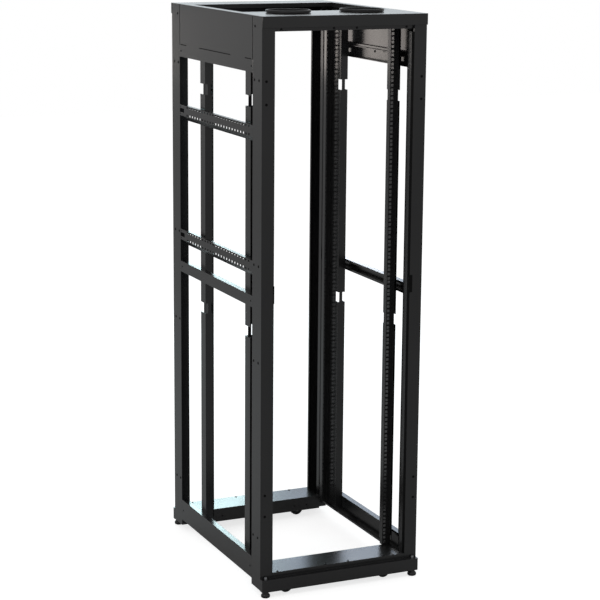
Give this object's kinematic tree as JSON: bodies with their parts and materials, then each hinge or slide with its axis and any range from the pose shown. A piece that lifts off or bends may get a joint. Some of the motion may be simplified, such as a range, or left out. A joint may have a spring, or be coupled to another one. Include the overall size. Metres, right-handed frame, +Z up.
{
  "type": "four post open frame rack",
  "caption": "Open rack frame of folded posts and braces with square-hole mounting rails, a cut-out top, perforated lacing bars, levelling feet and casters.",
  "frame": {"origin": "centre of the footprint on the floor, at the bottom of the levelling feet", "axes": "+Z up, +Y from the front of the rack to its rear, +X to the right seen from the front"},
  "size_m": [0.632, 0.892, 2.0191],
  "materials": {
    "frame_coat": "satin black powder coat",
    "caster_metal": "zinc plated",
    "wheel": "black, satin",
    "foot": "black",
    "port_cap": "black, satin"
  },
  "bodies": {
    "frame": {"front_base": "frame_coat", "front_left_caster_plate": "caster_metal", "front_left_foot": "foot", "front_left_post": "frame_coat", "front_left_rail": "frame_coat", "front_left_rail_clip": "frame_coat", "front_right_caster_plate": "caster_metal", "front_right_foot": "foot", "front_right_post": "frame_coat", "front_right_rail": "frame_coat", "front_right_rail_clip": "frame_coat", "front_top_beam": "frame_coat", "left_base_rail": "frame_coat", "left_middle_brace": "frame_coat", "left_port_cap": "port_cap", "left_upper_brace": "frame_coat", "left_upper_panel": "frame_coat", "lower_lacing_bar": "frame_coat", "rear_base": "frame_coat", "rear_left_caster_plate": "caster_metal", "rear_left_foot": "foot", "rear_left_post": "frame_coat", "rear_left_rail": "frame_coat", "rear_left_rail_clip": "frame_coat", "rear_right_caster_plate": "caster_metal", "rear_right_foot": "foot", "rear_right_post": "frame_coat", "rear_right_rail": "frame_coat", "rear_right_rail_clip": "frame_coat", "rear_top_beam": "frame_coat", "right_base_rail": "frame_coat", "right_middle_brace": "frame_coat", "right_port_cap": "port_cap", "right_upper_brace": "frame_coat", "right_upper_panel": "frame_coat", "top_panel": "frame_coat", "upper_lacing_bar": "frame_coat"},
    "front_left_caster_fork": {"front_left_caster_fork": "caster_metal"},
    "front_left_caster_wheel": {"front_left_caster_wheel": "wheel"},
    "front_right_caster_fork": {"front_right_caster_fork": "caster_metal"},
    "front_right_caster_wheel": {"front_right_caster_wheel": "wheel"},
    "rear_left_caster_fork": {"rear_left_caster_fork": "caster_metal"},
    "rear_left_caster_wheel": {"rear_left_caster_wheel": "wheel"},
    "rear_right_caster_fork": {"rear_right_caster_fork": "caster_metal"},
    "rear_right_caster_wheel": {"rear_right_caster_wheel": "wheel"}
  },
  "joints": [
    {"name": "front_left_caster_swivel", "type": "hinge", "parent": "frame", "child": "front_left_caster_fork", "pos_m": [-0.191, -0.404, 0.072], "axis": [0, 0, 1], "continuous": true},
    {"name": "front_left_caster_spin", "type": "hinge", "parent": "front_left_caster_fork", "child": "front_left_caster_wheel", "pos_m": [-0.201, -0.404, 0.026], "axis": [0, 1, 0], "continuous": true},
    {"name": "front_right_caster_swivel", "type": "hinge", "parent": "frame", "child": "front_right_caster_fork", "pos_m": [0.191, -0.404, 0.072], "axis": [0, 0, 1], "continuous": true},
    {"name": "front_right_caster_spin", "type": "hinge", "parent": "front_right_caster_fork", "child": "front_right_caster_wheel", "pos_m": [0.181, -0.404, 0.026], "axis": [0, 1, 0], "continuous": true},
    {"name": "rear_left_caster_swivel", "type": "hinge", "parent": "frame", "child": "rear_left_caster_fork", "pos_m": [-0.191, 0.362, 0.072], "axis": [0, 0, 1], "continuous": true},
    {"name": "rear_left_caster_spin", "type": "hinge", "parent": "rear_left_caster_fork", "child": "rear_left_caster_wheel", "pos_m": [-0.201, 0.362, 0.026], "axis": [0, 1, 0], "continuous": true},
    {"name": "rear_right_caster_swivel", "type": "hinge", "parent": "frame", "child": "rear_right_caster_fork", "pos_m": [0.191, 0.362, 0.072], "axis": [0, 0, 1], "continuous": true},
    {"name": "rear_right_caster_spin", "type": "hinge", "parent": "rear_right_caster_fork", "child": "rear_right_caster_wheel", "pos_m": [0.181, 0.362, 0.026], "axis": [0, 1, 0], "continuous": true}
  ]
}
